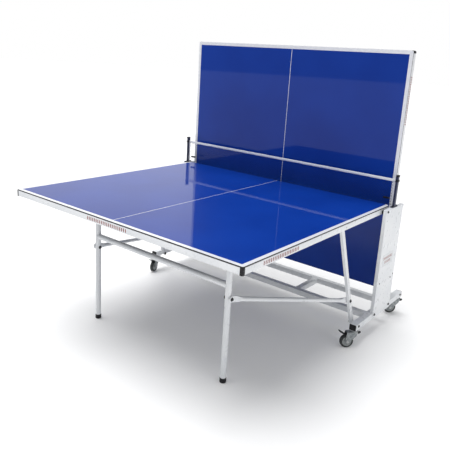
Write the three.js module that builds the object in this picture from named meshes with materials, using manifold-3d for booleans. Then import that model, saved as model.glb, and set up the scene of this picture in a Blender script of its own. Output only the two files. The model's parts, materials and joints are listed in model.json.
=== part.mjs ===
// A rollaway table tennis table: a castored base with two side towers, and two half tables that
// fold up one at a time between the towers. The front half lies flat for play and the rear half
// stands upright as a playback wall. Millimetres, +Z up, Y along the table, X across it.
// The origin is the middle of the bounding box, on the floor.

import * as THREE from 'three';
import { mergeVertices } from 'three/addons/utils/BufferGeometryUtils.js';
import Module from 'manifold-3d';

const wasm = await Module();
wasm.setup();

// ---------------------------------------------------------------- driving dimensions

const GAP = 0.3;                    // clearance between pieces that touch
const HALF_WIDTH = 762.5;           // from the middle to a side edge of the playing surface
const PLAY_HEIGHT = 760;            // playing surface above the floor
const HALF_END = 1370;              // from the net to the end line
const NET_GAP = 3;                  // from the net's middle to each half's inner edge
const PANEL = 6;                    // thickness of the playing panel
const APRON = { depth: 30, width: 17.5, wall: 1.5, corner: 2 };
const CORNER_CAP = { side: 20, radius: 9, proud: 0.8, drop: 2 };
const NET_END_RADIUS = 22;          // rounded corners of the panel at the net

const CARRIAGE = {                  // the cross axle that carries each half
  flat: { out: 89, z: 736 },
  upright: { out: 67, z: 324 },
  radius: 7,
  end: 793,
};
const FOLD = Math.PI / 2;           // each half folds a quarter turn

const LEG = { x: 468, out: 1062, pivot: 715, radius: 15, wall: 1.5, top: 733, rail: 500 };
const FOOT = { height: 25, radius: 16.5, spigot: 13, spigotTop: 60 };
const HINGE_RAIL = { out: 1092, width: 30, ear: 3, earDrop: 697, earIn: 1046 };

const STRUT = {                     // rectangular tube from the base up to the apron
  foot: { out: 265, z: 125 },
  top: { out: 523, z: 736 },
  width: 24, inner: 726, outer: 742, wall: 2,
  turn: THREE.MathUtils.degToRad(49.74),
};
const ROD = {                       // round tube with flattened ends from strut to leg
  strutEnd: { out: 326.8, z: 271.3, x: 720.5 },
  legEnd: { out: 1062, z: 437, x: 488.5 },
  radius: 11, flatHalf: 2.5, flatWidth: 16, flatRun: 30, neckRun: 62,
  turn: THREE.MathUtils.degToRad(87.2),
};
const BOLT_HOLE = 4.3;

const BASE = { inner: 755, outer: 795, bottom: 108, top: 142, end: 325, wall: 2, corner: 3 };
const CROSS = { y: 127, size: 34, z: 125, wall: 2, tie: 290 };
const TOWER = {
  inner: 778, outer: 797.5, half: 118, top: 755, sheet: 2, skirtBottom: 108,
  lip: 2.5, lipBottom: 736, slotHalf: 7.6,
};
const NET = { tapeTop: 912.5, tape: 15, tapeThick: 4, meshThick: 2, end: 779.5, meshBottom: 763 };
const POST = { inner: 780, outer: 794, top: 935, half: 11, plate: 4, plateHalf: 34 };

const CASTER = {
  x: 775, y: 300, radius: 38, width: 24, trail: 40, bore: 4.3, axle: 4,
  plateRadius: 20, cheek: 2.5, cheekGap: 14.5, bridge: 88, hub: 14,
};
const PEDAL = { half: 11, thick: 4, from: 6, to: 90, z: 83, rise: 22 };
const CASTER_YAW = {                // how far each caster is swivelled from trailing along -Y
  front_right: -42, front_left: 16, rear_right: -46, rear_left: 24,
};

// ---------------------------------------------------------------- materials

const paint = (color, roughness, metalness = 0) =>
  new THREE.MeshStandardMaterial({ color, roughness, metalness });
const WHITE = paint(0xdfe3e6, 0.35);
const BLUE = paint(0x1c3fa0, 0.2);
const BLACK = paint(0x121316, 0.5);
const NAVY = paint(0x1b2347, 0.6);
const NET_WHITE = paint(0xf2f3f4, 0.8);
const STEEL = paint(0xa9adb0, 0.35, 0.8);
const GREY = paint(0x8b9094, 0.4, 0.6);
const TYRE = paint(0x2b2f33, 0.8);

// ---------------------------------------------------------------- shape helpers

// A rounded rectangle from (left, bottom) to (right, top).
function roundedRect(left, right, bottom, top, radius) {
  const outline = new THREE.Shape();
  outline.moveTo(left + radius, bottom);
  outline.lineTo(right - radius, bottom);
  outline.absarc(right - radius, bottom + radius, radius, -Math.PI / 2, 0, false);
  outline.lineTo(right, top - radius);
  outline.absarc(right - radius, top - radius, radius, 0, Math.PI / 2, false);
  outline.lineTo(left + radius, top);
  outline.absarc(left + radius, top - radius, radius, Math.PI / 2, Math.PI, false);
  outline.lineTo(left, bottom + radius);
  outline.absarc(left + radius, bottom + radius, radius, Math.PI, Math.PI * 1.5, false);
  return outline;
}

// The section of a rectangular tube: a rounded rectangle with a square-cornered bore.
function tubeSection(left, right, bottom, top, wall, radius) {
  const section = roundedRect(left, right, bottom, top, radius);
  const bore = new THREE.Path();
  bore.moveTo(left + wall, bottom + wall);
  bore.lineTo(left + wall, top - wall);
  bore.lineTo(right - wall, top - wall);
  bore.lineTo(right - wall, bottom + wall);
  section.holes.push(bore);
  return section;
}

// The section of a round tube about (u, v).
function ringSection(u, v, outer, inner) {
  const section = new THREE.Shape();
  section.absarc(u, v, outer, 0, Math.PI * 2, false);
  const bore = new THREE.Path();
  bore.absarc(u, v, inner, 0, Math.PI * 2, true);
  section.holes.push(bore);
  return section;
}

function disc(u, v, radius) {
  const section = new THREE.Shape();
  section.absarc(u, v, radius, 0, Math.PI * 2, false);
  return section;
}

// A straight slot or bar with round ends between two points.
function stadium(a, b, radius) {
  const along = Math.atan2(b[1] - a[1], b[0] - a[0]);
  const outline = new THREE.Shape();
  outline.absarc(b[0], b[1], radius, along - Math.PI / 2, along + Math.PI / 2, false);
  outline.absarc(a[0], a[1], radius, along + Math.PI / 2, along + Math.PI * 1.5, false);
  return outline;
}

function polygon(points) {
  return new THREE.Shape(points.map(([u, v]) => new THREE.Vector2(u, v)));
}

const AXES = {
  x: new THREE.Matrix4().makeBasis(
    new THREE.Vector3(0, 1, 0), new THREE.Vector3(0, 0, 1), new THREE.Vector3(1, 0, 0)),
  y: new THREE.Matrix4().makeBasis(
    new THREE.Vector3(1, 0, 0), new THREE.Vector3(0, 0, 1), new THREE.Vector3(0, -1, 0)),
  z: new THREE.Matrix4(),
};

// The same section with straight steps in place of its arcs and no two points together.
function stepped(section, segments) {
  const distinct = (points) => points.filter((point, i) =>
    point.distanceTo(points[(i + 1) % points.length]) > 1e-3);
  const { shape, holes } = section.extractPoints(segments);
  const plain = new THREE.Shape(distinct(shape));
  plain.holes = holes.map((hole) => new THREE.Path(distinct(hole)));
  return plain;
}

// Extrudes a section along X (drawn in Y, Z), along Y (drawn in X, Z) or along Z (drawn in X, Y).
function extrude(axis, section, from, to, segments = 6) {
  const depth = to - from;
  const solid = new THREE.ExtrudeGeometry(stepped(section, segments), {
    depth, bevelEnabled: false,
  });
  solid.applyMatrix4(AXES[axis]);
  const start = axis === 'y' ? to : from;
  solid.translate(axis === 'x' ? start : 0, axis === 'y' ? start : 0, axis === 'z' ? start : 0);
  return solid;
}

function block(x0, x1, y0, y1, z0, z1) {
  const solid = new THREE.BoxGeometry(x1 - x0, y1 - y0, z1 - z0);
  return solid.translate((x0 + x1) / 2, (y0 + y1) / 2, (z0 + z1) / 2);
}

function toManifold(geometry) {
  const bare = new THREE.BufferGeometry();
  bare.setAttribute('position', geometry.getAttribute('position').clone());
  if (geometry.index) bare.setIndex(geometry.index.clone());
  const merged = mergeVertices(bare, 1e-4);
  return new wasm.Manifold(new wasm.Mesh({
    numProp: 3,
    vertProperties: new Float32Array(merged.getAttribute('position').array),
    triVerts: new Uint32Array(merged.index.array),
  }));
}

function fromManifold(solid) {
  const { vertProperties, triVerts } = solid.getMesh();
  const geometry = new THREE.BufferGeometry();
  geometry.setAttribute('position', new THREE.BufferAttribute(new Float32Array(vertProperties), 3));
  geometry.setIndex(new THREE.BufferAttribute(new Uint32Array(triVerts), 1));
  const faceted = geometry.toNonIndexed();
  faceted.computeVertexNormals();
  return faceted;
}

const cut = (body, ...tools) => fromManifold(
  tools.reduce((solid, tool) => solid.subtract(toManifold(tool)), toManifold(body)));
const join = (...pieces) => fromManifold(
  pieces.slice(1).reduce((solid, piece) => solid.add(toManifold(piece)), toManifold(pieces[0])));

function boltHoleX(y, z, from, to, radius = BOLT_HOLE) {
  return extrude('x', disc(y, z, radius), from, to, radius > BOLT_HOLE ? 8 : 4);
}

function mesh(name, geometry, material) {
  const piece = new THREE.Mesh(geometry, material);
  piece.name = name;
  return piece;
}

// A group whose children, drawn in their flat place, are turned about an X axis through (y, z).
function turned(y, z, angle, ...children) {
  const pivot = new THREE.Group();
  pivot.position.set(0, y, z);
  pivot.rotation.x = angle;
  const back = new THREE.Group();
  back.position.set(0, -y, -z);
  back.add(...children);
  pivot.add(back);
  return pivot;
}

const SIDES = [['right', 1], ['left', -1]];
const TURNED_SIDES = [['left', 1], ['right', -1]];    // for the half that is turned about Z

// ---------------------------------------------------------------- half table, drawn flat at -Y

// The panel's outline: rounded corners at the net, small ones at the end line.
function panelGeometry() {
  const shape = new THREE.Shape();
  const small = CORNER_CAP.radius;
  const x = HALF_WIDTH;
  shape.moveTo(-x + small, -HALF_END);
  shape.lineTo(x - small, -HALF_END);
  shape.absarc(x - small, -HALF_END + small, small, -Math.PI / 2, 0, false);
  shape.lineTo(x, -NET_GAP - NET_END_RADIUS);
  shape.absarc(x - NET_END_RADIUS, -NET_GAP - NET_END_RADIUS, NET_END_RADIUS, 0, Math.PI / 2, false);
  shape.lineTo(-x + NET_END_RADIUS, -NET_GAP);
  shape.absarc(-x + NET_END_RADIUS, -NET_GAP - NET_END_RADIUS, NET_END_RADIUS,
    Math.PI / 2, Math.PI, false);
  shape.lineTo(-x, -HALF_END + small);
  shape.absarc(-x + small, -HALF_END + small, small, Math.PI, Math.PI * 1.5, false);
  return extrude('z', shape, PLAY_HEIGHT - PANEL, PLAY_HEIGHT, 4);
}

const APRON_TOP = PLAY_HEIGHT - PANEL - GAP;
const APRON_BOTTOM = APRON_TOP - APRON.depth;

function sideRail(side) {
  const edge = side * HALF_WIDTH;
  const inside = side * (HALF_WIDTH - APRON.width);
  const section = tubeSection(Math.min(edge, inside), Math.max(edge, inside),
    APRON_BOTTOM, APRON_TOP, APRON.wall, APRON.corner);
  const start = -HALF_END + CORNER_CAP.side + GAP;
  const rail = extrude('y', section, start, -NET_GAP - NET_END_RADIUS / 2, 2);
  const { out, z } = CARRIAGE.flat;
  const low = Math.min(edge, inside) - 1;
  const high = Math.max(edge, inside) + 1;
  const axleHole = boltHoleX(-out, z, low, high, CARRIAGE.radius + 0.6);
  const strutHole = boltHoleX(-STRUT.top.out, STRUT.top.z, low, high);
  return cut(rail, axleHole, strutHole);
}

function endRail() {
  const section = tubeSection(-HALF_END, -HALF_END + APRON.width,
    APRON_BOTTOM, APRON_TOP, APRON.wall, APRON.corner);
  const reach = HALF_WIDTH - CORNER_CAP.side - GAP;
  return extrude('x', section, -reach, reach, 2);
}

function innerRail() {
  const section = tubeSection(-NET_GAP - 3 - APRON.width, -NET_GAP - 3,
    APRON_BOTTOM, APRON_TOP, APRON.wall, APRON.corner);
  const reach = HALF_WIDTH - APRON.width - GAP;
  return extrude('x', section, -reach, reach, 2);
}

// A moulded cap that closes the apron's corner, a little proud of the rails.
function cornerCap(side) {
  const { side: size, radius, proud, drop } = CORNER_CAP;
  const edge = HALF_WIDTH + proud;
  const end = HALF_END + proud;
  const outline = new THREE.Shape();
  outline.moveTo(HALF_WIDTH - size, -HALF_END + size);
  outline.lineTo(HALF_WIDTH - size, -end);
  outline.lineTo(edge - radius, -end);
  outline.absarc(edge - radius, -end + radius, radius, -Math.PI / 2, 0, false);
  outline.lineTo(edge, -HALF_END + size);
  const cap = extrude('z', outline, APRON_BOTTOM - drop, APRON_TOP, 6);
  return side > 0 ? cap : mirrored(cap);
}

// The same solid mirrored in X, with its faces turned back outward.
function mirrored(geometry) {
  const flat = geometry.index ? geometry.toNonIndexed() : geometry.clone();
  flat.scale(-1, 1, 1);
  const position = flat.getAttribute('position');
  const corner = new THREE.Vector3();
  const other = new THREE.Vector3();
  for (let i = 0; i < position.count; i += 3) {
    corner.fromBufferAttribute(position, i + 1);
    other.fromBufferAttribute(position, i + 2);
    position.setXYZ(i + 1, other.x, other.y, other.z);
    position.setXYZ(i + 2, corner.x, corner.y, corner.z);
  }
  flat.computeVertexNormals();
  return flat;
}

// The cross rail near the end line, with a pair of ears for each leg's pivot.
function legHingeRail() {
  const reach = HALF_WIDTH - APRON.width - GAP;
  const far = -HINGE_RAIL.out - HINGE_RAIL.width;
  const rail = extrude('x', tubeSection(far, -HINGE_RAIL.out, APRON_BOTTOM, APRON_TOP,
    APRON.wall, APRON.corner), -reach, reach, 2);
  const gap = LEG.radius + 1.5;
  const ears = [];
  for (const x of [-LEG.x, LEG.x]) {
    for (const side of [-1, 1]) {
      const near = x + side * gap;
      const away = x + side * (gap + HINGE_RAIL.ear);
      const outline = polygon([
        [-HINGE_RAIL.out - 4, APRON_TOP],
        [-HINGE_RAIL.earIn - 6, APRON_TOP],
        [-HINGE_RAIL.earIn, APRON_TOP - 12],
        [-HINGE_RAIL.earIn, HINGE_RAIL.earDrop + 10],
        [-HINGE_RAIL.earIn - 10, HINGE_RAIL.earDrop],
        [-LEG.out - 8, HINGE_RAIL.earDrop],
        [-HINGE_RAIL.out - 4, APRON_BOTTOM + 4],
      ]);
      ears.push(extrude('x', outline, Math.min(near, away), Math.max(near, away)));
    }
  }
  const holes = [-LEG.x, LEG.x].map((x) => boltHoleX(-LEG.out, LEG.pivot, x - 30, x + 30));
  return cut(join(rail, ...ears), ...holes);
}

// ---------------------------------------------------------------- legs, rods and struts

function leg(side) {
  const tube = extrude('z', ringSection(side * LEG.x, -LEG.out, LEG.radius, LEG.radius - LEG.wall),
    FOOT.height + GAP, LEG.top, 8);
  const from = side * LEG.x - 30;
  const to = side * LEG.x + 30;
  return cut(tube, boltHoleX(-LEG.out, LEG.pivot, from, to),
    boltHoleX(-LEG.out, ROD.legEnd.z, from, to));
}

// The cross rail is a round tube whose ends are fish-mouthed around the legs.
function legRail() {
  const tube = extrude('x', ringSection(-LEG.out, LEG.rail, LEG.radius, LEG.radius - LEG.wall),
    -LEG.x, LEG.x, 8);
  const mouths = [-LEG.x, LEG.x].map((x) =>
    extrude('z', disc(x, -LEG.out, LEG.radius + GAP), LEG.rail - 40, LEG.rail + 40, 8));
  return cut(tube, ...mouths);
}

// A rubber foot: a pad under the tube and a spigot inside it.
function foot(side) {
  const profile = [
    [0, 0], [FOOT.radius - 1.5, 0], [FOOT.radius, 2], [FOOT.radius, FOOT.height],
    [FOOT.spigot, FOOT.height], [FOOT.spigot, FOOT.spigotTop], [0, FOOT.spigotTop],
  ].map(([r, h]) => new THREE.Vector2(r, h));
  const solid = new THREE.LatheGeometry(profile, 16).rotateX(Math.PI / 2);
  return solid.translate(side * LEG.x, -LEG.out, 0);
}

function strut(side) {
  const a = [-STRUT.foot.out, STRUT.foot.z];
  const b = [-STRUT.top.out, STRUT.top.z];
  const run = Math.hypot(b[0] - a[0], b[1] - a[1]);
  const tilt = Math.atan2(b[1] - a[1], b[0] - a[0]);
  const near = side > 0 ? STRUT.inner : -STRUT.outer;
  const far = side > 0 ? STRUT.outer : -STRUT.inner;
  const bar = extrude('x', stadium(a, b, STRUT.width / 2), near, far, 4);
  const half = STRUT.width / 2 - STRUT.wall;
  const bore = block(near + STRUT.wall, far - STRUT.wall, -run / 2 - 40, run / 2 + 40, -half, half);
  bore.rotateX(tilt);
  bore.translate(0, (a[0] + b[0]) / 2, (a[1] + b[1]) / 2);
  return cut(bar, bore, boltHoleX(...a, near - 1, far + 1), boltHoleX(...b, near - 1, far + 1));
}

// A round tube flattened at both ends, which also steps outward from the leg to the strut.
function rod(side) {
  const a = new THREE.Vector2(-ROD.strutEnd.out, ROD.strutEnd.z);
  const b = new THREE.Vector2(-ROD.legEnd.out, ROD.legEnd.z);
  const run = a.distanceTo(b);
  const along = b.clone().sub(a).normalize();
  const across = new THREE.Vector2(-along.y, along.x);
  const { flatWidth, flatHalf, radius, flatRun, neckRun } = ROD;
  const end = [
    [-flatWidth + 1, 6, flatHalf], [-10, 12.5, flatHalf], [0, flatWidth, flatHalf],
    [flatRun, flatWidth, flatHalf], [(flatRun + neckRun) / 2, 14, 6.4], [neckRun, radius, radius],
  ];
  const stations = [
    ...end,
    ...end.map(([s, wide, thick]) => [run - s, wide, thick]).reverse(),
  ];
  const step = (s) => THREE.MathUtils.clamp((s - flatRun) / (run - 2 * flatRun), 0, 1);
  const sides = 12;
  const position = [];
  const ring = ([s, wide, thick]) => {
    const x = THREE.MathUtils.lerp(ROD.strutEnd.x, ROD.legEnd.x, step(s));
    const points = [];
    for (let i = 0; i < sides; i += 1) {
      const turn = (i / sides) * Math.PI * 2;
      const offset = wide * Math.cos(turn);
      points.push([
        x + thick * Math.sin(turn),
        a.x + along.x * s + across.x * offset,
        a.y + along.y * s + across.y * offset,
      ]);
    }
    return { points, middle: [x, a.x + along.x * s, a.y + along.y * s] };
  };
  const rings = stations.map(ring);
  const face = (p, q, r) => position.push(...p, ...q, ...r);
  for (let i = 0; i < sides; i += 1) {
    const j = (i + 1) % sides;
    for (let k = 0; k + 1 < rings.length; k += 1) {
      const low = rings[k].points;
      const high = rings[k + 1].points;
      face(low[i], low[j], high[j]);
      face(low[i], high[j], high[i]);
    }
    const last = rings[rings.length - 1];
    face(rings[0].middle, rings[0].points[j], rings[0].points[i]);
    face(last.middle, last.points[i], last.points[j]);
  }
  const bar = new THREE.BufferGeometry();
  bar.setAttribute('position', new THREE.Float32BufferAttribute(position, 3));
  const drilled = cut(bar,
    boltHoleX(a.x, a.y, ROD.strutEnd.x - 10, ROD.strutEnd.x + 10),
    boltHoleX(b.x, b.y, ROD.legEnd.x - 10, ROD.legEnd.x + 10));
  return side > 0 ? drilled : mirrored(drilled);
}

function axle() {
  const { flat, radius, end } = CARRIAGE;
  return extrude('x', disc(-flat.out, flat.z, radius), -end, end, 8);
}

// One half with its carriage, legs, rods and struts, folded by a share of the full turn.
function halfTable(name, sides, folded) {
  const angle = -FOLD * folded;
  const carriage = new THREE.Group();
  const { flat, upright } = CARRIAGE;
  carriage.position.set(0, (flat.out - upright.out) * folded, (upright.z - flat.z) * folded);
  carriage.add(mesh(`${name}_axle`, axle(), STEEL));

  const panel = [
    mesh(`${name}_panel`, panelGeometry(), BLUE),
    mesh(`${name}_end_rail`, endRail(), WHITE),
    mesh(`${name}_inner_rail`, innerRail(), WHITE),
    mesh(`${name}_leg_hinge_rail`, legHingeRail(), WHITE),
  ];
  const legs = [mesh(`${name}_leg_rail`, legRail(), WHITE)];
  const rods = [];
  const struts = [];
  for (const [side, sign] of sides) {
    panel.push(mesh(`${name}_${side}_side_rail`, sideRail(sign), WHITE));
    panel.push(mesh(`${name}_${side}_corner_cap`, cornerCap(sign), BLACK));
    legs.push(mesh(`${name}_${side}_leg`, leg(sign), WHITE));
    legs.push(mesh(`${name}_${side}_foot`, foot(sign), BLACK));
    rods.push(mesh(`${name}_${side}_rod`, rod(sign), WHITE));
    struts.push(mesh(`${name}_${side}_strut`, strut(sign), WHITE));
  }
  const rodGroup = turned(-ROD.legEnd.out, ROD.legEnd.z, -ROD.turn * folded, ...rods);
  const legGroup = turned(-LEG.out, LEG.pivot, -angle, ...legs, rodGroup);
  const strutGroup = turned(-STRUT.top.out, STRUT.top.z, STRUT.turn * folded, ...struts);
  carriage.add(turned(-flat.out, flat.z, angle, ...panel, legGroup, strutGroup));
  return carriage;
}

// ---------------------------------------------------------------- base, towers and net

function baseTube(sign) {
  const section = tubeSection(BASE.inner, BASE.outer, BASE.bottom, BASE.top, BASE.wall, BASE.corner);
  const tube = extrude('y', section, -BASE.end, BASE.end, 3);
  return sign > 0 ? tube : mirrored(tube);
}

function crossTube(y) {
  const half = CROSS.size / 2;
  const section = tubeSection(y - half, y + half, CROSS.z - half, CROSS.z + half,
    CROSS.wall, BASE.corner);
  return extrude('x', section, -BASE.inner + GAP, BASE.inner - GAP, 3);
}

function crossTie(x) {
  const half = CROSS.size / 2;
  const reach = CROSS.y - half - GAP;
  const section = tubeSection(x - half, x + half, CROSS.z - half, CROSS.z + half,
    CROSS.wall, BASE.corner);
  return extrude('y', section, -reach, reach, 3);
}

// A folded sheet box, open underneath, with two slanted guide slots for the axles in its
// inner wall, a skirt that laps over the base tube and a lip around its top.
function tower(sign) {
  const { inner, outer, half, top, sheet, skirtBottom, lip, lipBottom, slotHalf } = TOWER;
  const bottom = BASE.top + GAP;
  const shell = join(
    block(inner, outer, -half, half, bottom, top),
    block(BASE.outer + GAP, outer, -half, half, skirtBottom, bottom + 10),
    block(outer - 1, outer + lip, -half, half, lipBottom, top));
  const cavity = block(inner + sheet, outer - sheet, -half + sheet, half - sheet,
    bottom - 1, top - sheet);
  const { flat, upright } = CARRIAGE;
  const slots = [-1, 1].map((way) => extrude('x',
    stadium([way * upright.out, upright.z], [way * flat.out, flat.z], slotHalf),
    inner - 1, inner + sheet + 1, 4));
  const box = cut(shell, cavity, ...slots);
  return sign > 0 ? box : mirrored(box);
}

function netPost(sign) {
  const { inner, outer, top, half, plate, plateHalf } = POST;
  const foot = TOWER.top + GAP;
  const post = join(
    block(TOWER.inner + 1, TOWER.outer - 1, -plateHalf, plateHalf, foot, foot + plate),
    extrude('z', roundedRect(inner, outer, -half, half, 3), foot + plate / 2, top, 3));
  return sign > 0 ? post : mirrored(post);
}

function netPieces() {
  const tapeBottom = NET.tapeTop - NET.tape;
  const thin = NET.meshThick / 2;
  const thick = NET.tapeThick / 2;
  return [
    mesh('net_mesh', block(-NET.end, NET.end, -thin, thin, NET.meshBottom, tapeBottom - GAP), NAVY),
    mesh('net_tape', block(-NET.end, NET.end, -thick, thick, tapeBottom, NET.tapeTop), NET_WHITE),
  ];
}

// ---------------------------------------------------------------- casters, drawn trailing at -Y

function casterFork() {
  const { plateRadius, cheek, cheekGap, bridge, trail, radius, axle: pin, hub } = CASTER;
  const top = BASE.bottom - GAP;
  const wide = cheekGap + cheek;
  const turntable = extrude('z', disc(0, 0, plateRadius), bridge, top, 7);
  const crown = extrude('x', polygon([
    [plateRadius - 4, bridge + 6], [-trail + 4, bridge + 6], [-trail - 6, bridge],
    [-trail - 6, bridge - 2], [plateRadius - 6, bridge - 2],
  ]), -wide, wide);
  const outline = polygon([
    [plateRadius - 5, bridge + 4], [plateRadius - 9, bridge - 16],
    [-trail + hub - 2, radius - hub + 3], [-trail + 4, radius - hub], [-trail - 6, radius - hub + 1],
    [-trail - hub + 1, radius - 2], [-trail - hub + 3, radius + 12], [-trail - 4, bridge + 4],
  ].reverse());
  const cheeks = [-1, 1].map((side) => extrude('x', outline,
    Math.min(side * cheekGap, side * wide), Math.max(side * cheekGap, side * wide)));
  const pinBar = extrude('x', disc(-trail, radius, pin), -wide - 2, wide + 2, 5);
  return join(turntable, crown, ...cheeks, pinBar);
}

// A wheel with a rounded tread, lathed about its own axle and then laid along X.
function casterWheel() {
  const { radius, width, trail, bore, hub } = CASTER;
  const half = width / 2;
  const profile = [
    [bore, -half], [hub, -half], [hub + 2, -half + 2], [radius - 5, -half + 2], [radius, -half + 8],
    [radius, half - 8], [radius - 5, half - 2], [hub + 2, half - 2], [hub, half], [bore, half],
    [bore, -half],
  ].map(([r, h]) => new THREE.Vector2(r, h));
  return new THREE.LatheGeometry(profile, 22).rotateZ(-Math.PI / 2).translate(0, -trail, radius);
}

// The brake pedal: a tread plate that runs back over the wheel, held by two side tabs.
function brakePedal() {
  const { half, thick, from, to, z, rise } = PEDAL;
  const low = CASTER.radius * 2 + 3;
  const outline = polygon([
    [-from, z - thick / 2], [-from, z - thick / 2 - 1], [-CASTER.trail - 16, low - 1],
    [-to + 8, low + rise - 6], [-to, low + rise - 4], [-to, low + rise],
    [-to + 8, low + rise], [-CASTER.trail - 16, low + thick - 2], [-from, z],
  ].reverse());
  return extrude('x', outline, -half, half);
}

function caster(place, x, y) {
  const group = new THREE.Group();
  group.position.set(x, y, 0);
  group.rotation.z = THREE.MathUtils.degToRad(CASTER_YAW[place]);
  group.add(mesh(`${place}_caster_fork`, casterFork(), GREY));
  group.add(mesh(`${place}_caster_wheel`, casterWheel(), TYRE));
  group.add(mesh(`${place}_brake_pedal`, brakePedal(), BLACK));
  return group;
}

// ---------------------------------------------------------------- assembly

const table = new THREE.Group();
table.add(halfTable('front', SIDES, 0));
const rear = new THREE.Group();
rear.rotation.z = Math.PI;
rear.add(halfTable('rear', TURNED_SIDES, 1));
table.add(rear);
for (const [side, sign] of SIDES) {
  table.add(mesh(`${side}_base_tube`, baseTube(sign), WHITE));
  table.add(mesh(`${side}_tower`, tower(sign), WHITE));
  table.add(mesh(`${side}_net_post`, netPost(sign), NAVY));
  table.add(mesh(`${side}_cross_tie`, crossTie(sign * CROSS.tie), WHITE));
  table.add(caster(`front_${side}`, sign * CASTER.x, -CASTER.y));
  table.add(caster(`rear_${side}`, sign * CASTER.x, CASTER.y));
}
table.add(mesh('front_cross_tube', crossTube(-CROSS.y), WHITE));
table.add(mesh('rear_cross_tube', crossTube(CROSS.y), WHITE));
table.add(...netPieces());

// Stand the model on the middle of its bounding box.
const bounds = new THREE.Box3().setFromObject(table, true);
const middle = bounds.getCenter(new THREE.Vector3());
table.position.set(-middle.x, -middle.y, -bounds.min.z);

export default table;
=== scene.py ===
# %% [markdown]
# # A rollaway table tennis table
# The steelwork, the sizes and the joints come packed as a fixed frame. Nothing in it is moved here.
# This lesson gives it its looks: paint, lacquer, rubber, a knotted net, and the small pieces that
# are too fine for the frame. Each cell makes one thing and prints what it made.

# %% The frame
import json
import math

import bmesh
import bpy
from mathutils import Matrix, Vector


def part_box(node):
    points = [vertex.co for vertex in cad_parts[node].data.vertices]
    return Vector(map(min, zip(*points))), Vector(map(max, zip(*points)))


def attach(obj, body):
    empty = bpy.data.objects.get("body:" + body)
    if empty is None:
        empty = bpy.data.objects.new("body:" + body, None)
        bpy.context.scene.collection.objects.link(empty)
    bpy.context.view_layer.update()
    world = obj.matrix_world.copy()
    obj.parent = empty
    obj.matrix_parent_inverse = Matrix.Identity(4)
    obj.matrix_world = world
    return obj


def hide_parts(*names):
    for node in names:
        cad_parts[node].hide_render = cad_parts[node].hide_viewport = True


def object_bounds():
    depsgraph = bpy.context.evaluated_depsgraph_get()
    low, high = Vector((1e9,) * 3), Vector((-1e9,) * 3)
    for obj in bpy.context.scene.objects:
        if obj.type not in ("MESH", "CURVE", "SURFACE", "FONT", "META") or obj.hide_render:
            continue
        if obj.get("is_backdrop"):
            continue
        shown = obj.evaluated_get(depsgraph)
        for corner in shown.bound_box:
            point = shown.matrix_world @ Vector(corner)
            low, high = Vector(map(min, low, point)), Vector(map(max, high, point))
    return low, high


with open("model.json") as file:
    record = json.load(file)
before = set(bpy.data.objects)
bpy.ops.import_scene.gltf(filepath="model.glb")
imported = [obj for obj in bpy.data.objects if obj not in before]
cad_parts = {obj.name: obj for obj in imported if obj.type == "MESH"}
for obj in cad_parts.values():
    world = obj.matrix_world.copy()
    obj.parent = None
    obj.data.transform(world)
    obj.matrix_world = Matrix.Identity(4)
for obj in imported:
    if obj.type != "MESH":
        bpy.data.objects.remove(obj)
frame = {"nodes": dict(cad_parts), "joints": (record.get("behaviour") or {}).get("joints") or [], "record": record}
cad_low, cad_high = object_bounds()
nodes = frame["nodes"]
print("frame:", len(nodes), "nodes", [round(x, 3) for x in cad_high - cad_low])

# %% [markdown]
# ## The camera
# The table is seen from above its near right corner. The lens is about normal for the distance,
# so the far half doesn't shrink too fast. A small shift frames the table without tilting the
# camera further, which would bend the legs.

# %% The camera


def put(name, data):
    """An object made from the data and linked to the scene."""
    obj = bpy.data.objects.new(name, data)
    bpy.context.scene.collection.objects.link(obj)
    return obj


eye = put("camera", bpy.data.cameras.new("camera"))
eye.location = (1.8669, -2.3811, 1.5049)
eye.rotation_euler = [math.radians(a) for a in (75.618, -3.512, 38.309)]
eye.data.sensor_width = 36
eye.data.lens = 43.51
eye.data.shift_x = -0.017
eye.data.shift_y = -0.060
bpy.context.scene.camera = eye
print("camera:", eye.data.lens, "mm lens")

# %% [markdown]
# ## The sizes that everything hangs on
# Every place below is worked out from the frame's boxes and pivots, so a change in the frame
# moves the looks with it. The front half lies flat. The rear half is the same half turned round
# and swung up, so each of its pieces is made in the front half's place and then carried over by
# one matrix: a turn about the upright axis, a swing about its own pivot.

# %% Sizes and places
MM = 0.001
pivots = {j["name"]: Vector(j["pos_m"]) for j in frame["joints"] if "pos_m" in j}
swings = {j["name"]: j["range_deg"][1] for j in frame["joints"] if "range_deg" in j}
net_y = sum(corner.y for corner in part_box("net_mesh")) / 2
panel_low, panel_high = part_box("front_panel")
half_width, play_z, end_y = panel_high.x, panel_high.z, panel_low.y


def carried(joint, swing):
    """From the front half's place to the rear half's, about the pivot of one pair of joints."""
    here, there = pivots["front_" + joint], pivots["rear_" + joint]
    turn = Matrix.Rotation(math.pi, 4, "Z") @ Matrix.Rotation(math.radians(swing), 4, "X")
    return Matrix.Translation(there) @ turn @ Matrix.Translation(-here)


CARRY = {
    "carriage": carried("fold", 0),
    "half": carried("fold", -90),
    "legs": carried("leg_fold", 0),
    "rods": carried("rod_swing", -swings["rear_rod_swing"]),
    "struts": carried("strut_swing", swings["rear_strut_swing"] - 90),
}
HALVES = ("front", "rear")
SIDES = (("right", 1), ("left", -1))


def placed(half, body):
    return CARRY[body] if half == "rear" else Matrix()


def side_of(half, sign):
    """The side's name: on the rear half, which is turned round, the two change places."""
    return "right" if (sign > 0) == (half == "front") else "left"


CORNERS = [(half, side_of(half, sign), sign) for half in HALVES for _, sign in SIDES]
print("playing surface:", round(2 * half_width, 4), "m wide,", round(play_z, 3), "m high")

# %% [markdown]
# ## Finishes: a few nodes each
# A finish is one shader with a little noise in it. Real paint and plastic are never the same all
# over: the gloss wanders, and the surface has a fine skin. The noise uses object coordinates,
# so its grain is in metres and sits still on the piece when a joint moves.

# %% Helpers for finishes


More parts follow.
